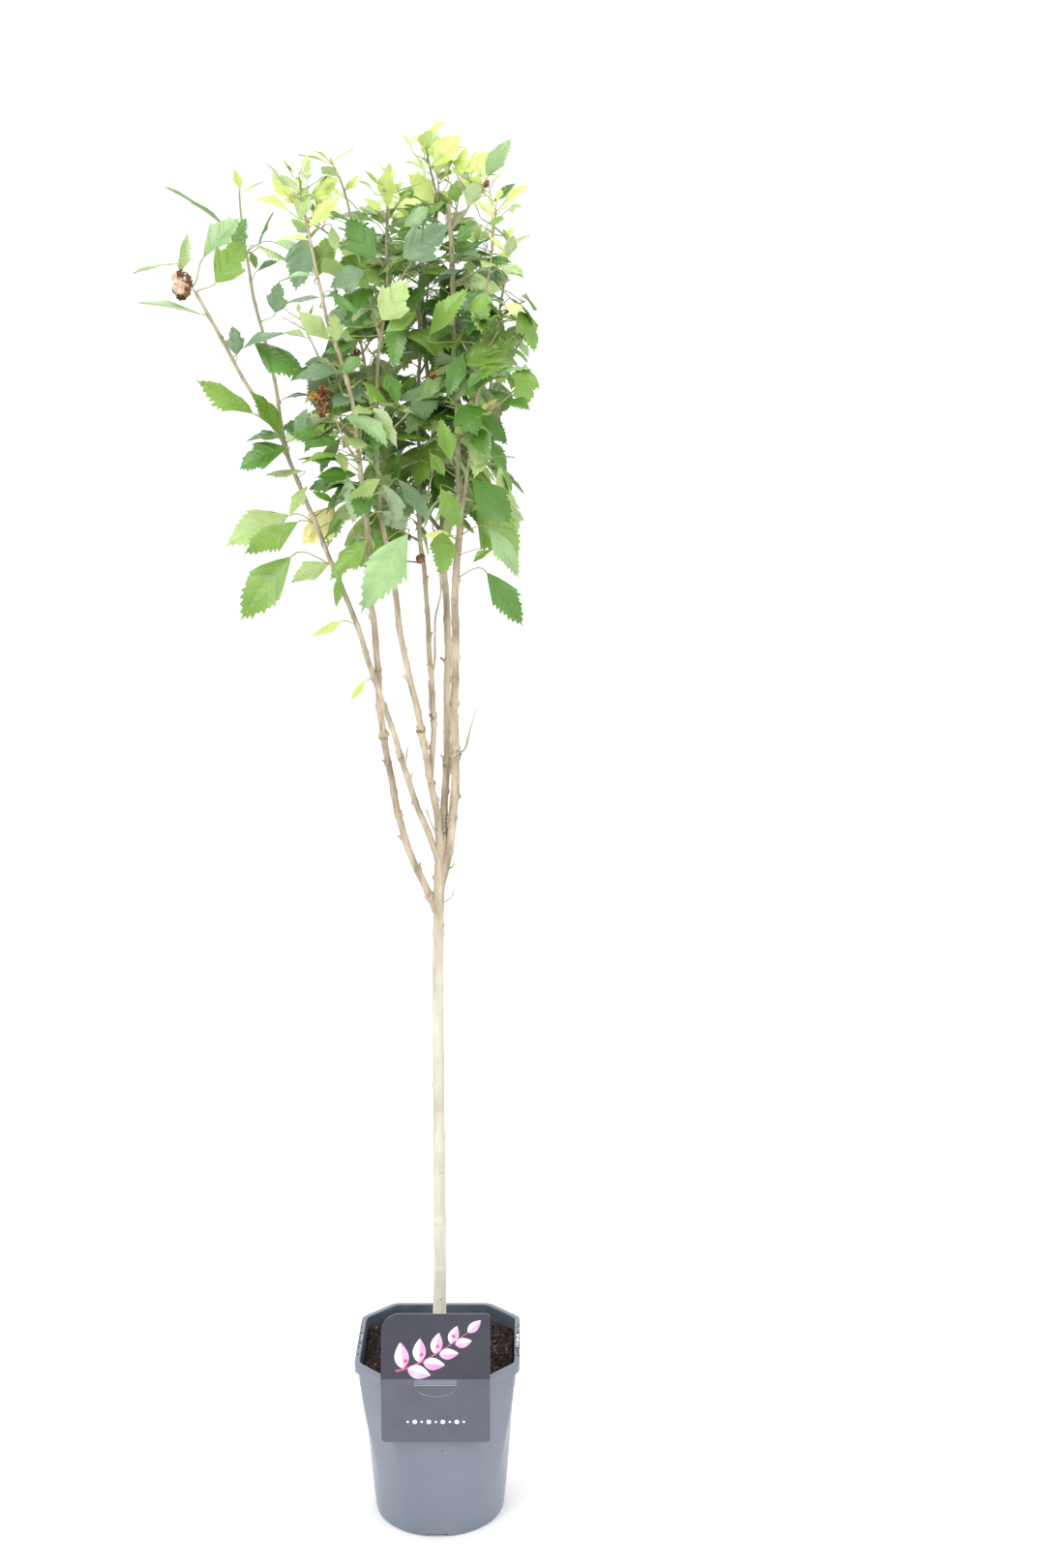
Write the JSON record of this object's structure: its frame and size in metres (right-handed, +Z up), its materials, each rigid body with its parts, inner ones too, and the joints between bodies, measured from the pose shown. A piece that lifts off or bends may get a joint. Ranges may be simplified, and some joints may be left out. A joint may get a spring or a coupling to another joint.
{
  "type": "potted rose of sharon",
  "caption": "Young rose of sharon on one slim trunk, with bare upright boughs and a loose leafy crown that leans to one side, in a square-topped nursery pot with a hanging tag.",
  "frame": {"origin": "middle of the pot's flat underside", "axes": "+Z up the trunk; the tag hangs on the side facing -Y; the crown spreads furthest towards -X"},
  "size_m": [0.4104, 0.2349, 1.508],
  "materials": {
    "pot": "satin blue-grey moulded plastic",
    "compost": "moist dark brown compost with bark chips",
    "tag": "printed plastic card, satin",
    "bark": "pale beige-grey young bark",
    "foliage": "satin green leaves, lime at the shoot tips"
  },
  "bodies": {
    "root": {"pot": "pot", "soil": "compost", "tag": "tag", "trunk": "bark", "left_middle_bough": "bark", "left_bough": "bark", "right_bough": "bark", "back_bough": "bark", "middle_bough": "bark", "centre_bough": "bark", "far_left_bough": "bark", "inner_left_bough": "bark", "front_right_bough": "bark", "back_left_bough": "bark", "back_right_bough": "bark", "middle_low_leaves": "foliage", "left_low_leaves": "foliage", "right_low_leaves": "foliage", "left_fork_leaves": "foliage", "far_left_leaves": "foliage", "far_left_head": "foliage", "inner_left_leaves": "foliage", "inner_left_head": "foliage", "left_leaves": "foliage", "left_top_leaves": "foliage", "middle_leaves": "foliage", "middle_top_leaves": "foliage", "centre_leaves": "foliage", "centre_top_leaves": "foliage", "right_leaves": "foliage", "right_top_leaves": "foliage", "front_right_leaves": "foliage", "back_leaves": "foliage", "back_top_leaves": "foliage", "back_left_leaves": "foliage", "back_right_leaves": "foliage"}
  },
  "joints": []
}
